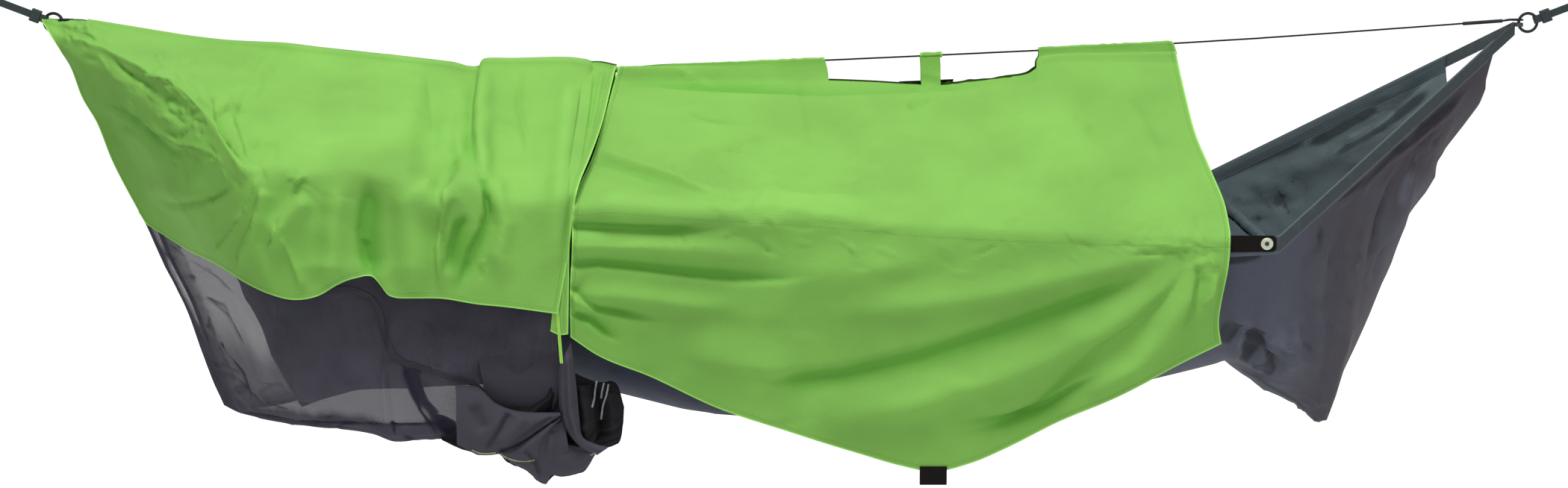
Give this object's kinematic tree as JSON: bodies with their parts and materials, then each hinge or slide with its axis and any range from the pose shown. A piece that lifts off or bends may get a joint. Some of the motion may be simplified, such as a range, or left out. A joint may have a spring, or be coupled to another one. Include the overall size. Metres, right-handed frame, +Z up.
{
  "type": "covered camping hammock",
  "caption": "Lay-flat camping hammock hung from end rings, with spreader poles, a rain fly with vent windows and a cover with mosquito-net sides over its ridge cord.",
  "frame": {"origin": "midway between the centres of the two end rings, on the line that the hammock hangs from", "axes": "+X along the ridge cord towards the open end with the bare bed, +Z up, -Y towards the side that the picture shows"},
  "size_m": [3.2224, 0.9698, 0.9072],
  "materials": {
    "green_fabric": "light coated ripstop, slightly glossy",
    "slate_fabric": "matte close weave",
    "net": "fine black mesh",
    "gathered_net": "fine black mesh in folds",
    "slate_webbing": "woven webbing",
    "black_webbing": "woven webbing",
    "dark_cord": "braided cord",
    "grommet_metal": "cream satin",
    "dark_steel": "dark satin",
    "pole_metal": "satin tube",
    "black_plastic": "matte"
  },
  "bodies": {
    "rings": {"ring_left": "dark_steel", "ring_right": "dark_steel"},
    "left_hanging_strap": {"left_strap": "slate_webbing"},
    "right_hanging_strap": {"right_strap": "slate_webbing"},
    "left_keeper": {"left_strap_keeper": "slate_webbing"},
    "right_keeper": {"right_strap_keeper": "slate_webbing"},
    "hammock": {"bed": "slate_fabric", "front_edge_webbing": "slate_webbing", "rear_edge_webbing": "slate_webbing", "end_loop_left": "slate_webbing", "end_loop_right": "slate_webbing", "ridge_cord": "dark_cord", "ridge_splice_left": "slate_webbing", "ridge_splice_right": "slate_webbing", "left_side_strap_front": "black_webbing", "left_side_strap_rear": "black_webbing", "right_side_strap_front": "black_webbing", "right_side_strap_rear": "black_webbing", "left_grommet_front": "grommet_metal", "left_grommet_rear": "grommet_metal", "right_grommet_front": "grommet_metal", "right_grommet_rear": "grommet_metal", "fly_sleeve_left": "green_fabric", "fly_sleeve_tab": "green_fabric", "fly_sleeve_right": "green_fabric", "cover_sleeve": "green_fabric"},
    "left_spreader": {"left_spreader_pole": "pole_metal", "left_pole_cap_front": "black_plastic", "left_pole_cap_rear": "black_plastic"},
    "right_spreader": {"right_spreader_pole": "pole_metal", "right_pole_cap_front": "black_plastic", "right_pole_cap_rear": "black_plastic"},
    "front_fly": {"fly_front": "green_fabric", "fly_front_tab": "black_webbing"},
    "rear_fly": {"fly_rear": "green_fabric", "fly_rear_tab": "black_webbing", "fly_vent_patch": "black_webbing"},
    "front_cover": {"cover_front": "green_fabric", "net_front": "net", "net_bunch_front": "gathered_net"},
    "rear_cover": {"cover_rear": "green_fabric", "net_rear": "net", "net_bunch_rear": "gathered_net"}
  },
  "joints": [
    {"name": "swing", "type": "hinge", "parent": "rings", "child": "hammock", "pos_m": [0, 0, 0], "axis": [1, 0, 0], "range_deg": [-25, 25]},
    {"name": "left_strap_hinge", "type": "hinge", "parent": "rings", "child": "left_hanging_strap", "pos_m": [-1.4434, 0, 0], "axis": [0, 1, 0], "range_deg": [-41, 49]},
    {"name": "right_strap_hinge", "type": "hinge", "parent": "rings", "child": "right_hanging_strap", "pos_m": [1.4434, 0, 0], "axis": [0, 1, 0], "range_deg": [-49, 41]},
    {"name": "left_keeper_slide", "type": "slide", "parent": "left_hanging_strap", "child": "left_keeper", "axis": [-0.9336, 0, 0.3584], "range_m": [0, 0.08]},
    {"name": "right_keeper_slide", "type": "slide", "parent": "right_hanging_strap", "child": "right_keeper", "axis": [0.9336, 0, 0.3584], "range_m": [0, 0.08]},
    {"name": "left_pole_spin", "type": "hinge", "parent": "hammock", "child": "left_spreader", "pos_m": [-0.967, 0, -0.244], "axis": [0, 1, 0], "continuous": true},
    {"name": "right_pole_spin", "type": "hinge", "parent": "hammock", "child": "right_spreader", "pos_m": [0.865, 0, -0.368], "axis": [0, 1, 0], "continuous": true},
    {"name": "front_fly_lift", "type": "hinge", "parent": "hammock", "child": "front_fly", "pos_m": [0, 0, -0.0764], "axis": [0.9989, 0, 0.0471], "range_deg": [-95, 0]},
    {"name": "rear_fly_lift", "type": "hinge", "parent": "hammock", "child": "rear_fly", "pos_m": [0, 0, -0.0764], "axis": [0.9989, 0, 0.0471], "range_deg": [0, 95]},
    {"name": "front_cover_lift", "type": "hinge", "parent": "hammock", "child": "front_cover", "pos_m": [-1.415, 0, 0.0045], "axis": [0.996, 0, -0.0891], "range_deg": [-75, 0]},
    {"name": "rear_cover_lift", "type": "hinge", "parent": "hammock", "child": "rear_cover", "pos_m": [-1.415, 0, 0.0045], "axis": [0.996, 0, -0.0891], "range_deg": [0, 75]}
  ]
}
